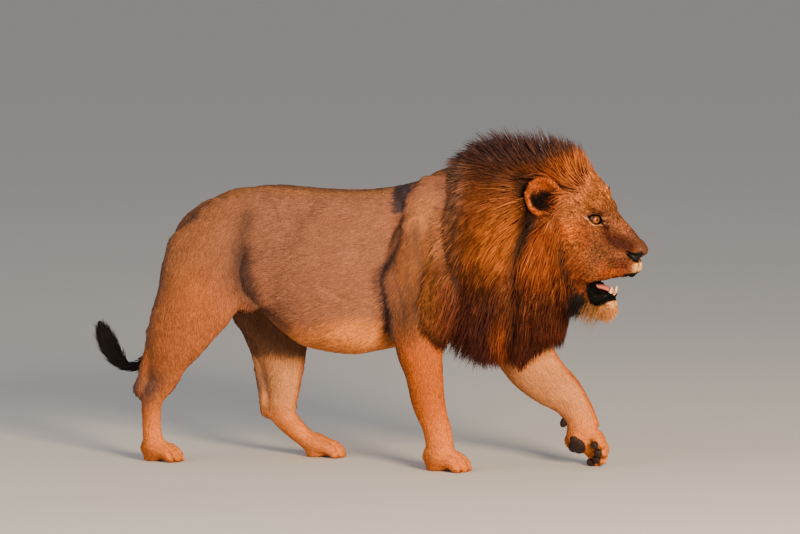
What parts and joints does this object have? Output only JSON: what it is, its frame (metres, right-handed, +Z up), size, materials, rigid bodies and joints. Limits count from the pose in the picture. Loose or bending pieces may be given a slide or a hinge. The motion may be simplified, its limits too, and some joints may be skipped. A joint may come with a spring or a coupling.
{
  "type": "lion",
  "caption": "Life-size adult male lion, walking, full mane, far forepaw reaching forward, mouth slightly open, tail curled up at its tuft; a still museum-style model.",
  "frame": {"origin": "middle of the model's bounding box, on the floor under the paws", "axes": "+X forward, the way the lion walks; +Y to the lion's left; +Z up"},
  "size_m": [1.9656, 0.4884, 1.134],
  "materials": {
    "short_coat": "short, flat, tawny fur",
    "mane": "long, coarse hair, orange-brown to almost black",
    "tail_tuft": "long black hair",
    "nose_leather": "bare, damp, finely pebbled skin",
    "tongue": "moist, rough",
    "tooth": "polished ivory",
    "eye": "amber iris under a clear, wet surface"
  },
  "bodies": {
    "root": {"head": "short_coat", "lower_jaw": "short_coat", "nose": "nose_leather", "tongue": "tongue", "canine_right": "tooth", "canine_left": "tooth", "ear_right": "short_coat", "ear_left": "short_coat", "eye_right": "eye", "eye_left": "eye", "neck_mane": "mane", "trunk": "short_coat", "foreleg_right": "short_coat", "foreleg_left": "short_coat", "hindleg_right": "short_coat", "hindleg_left": "short_coat", "tail": "short_coat", "tail_tuft": "tail_tuft"}
  },
  "joints": []
}
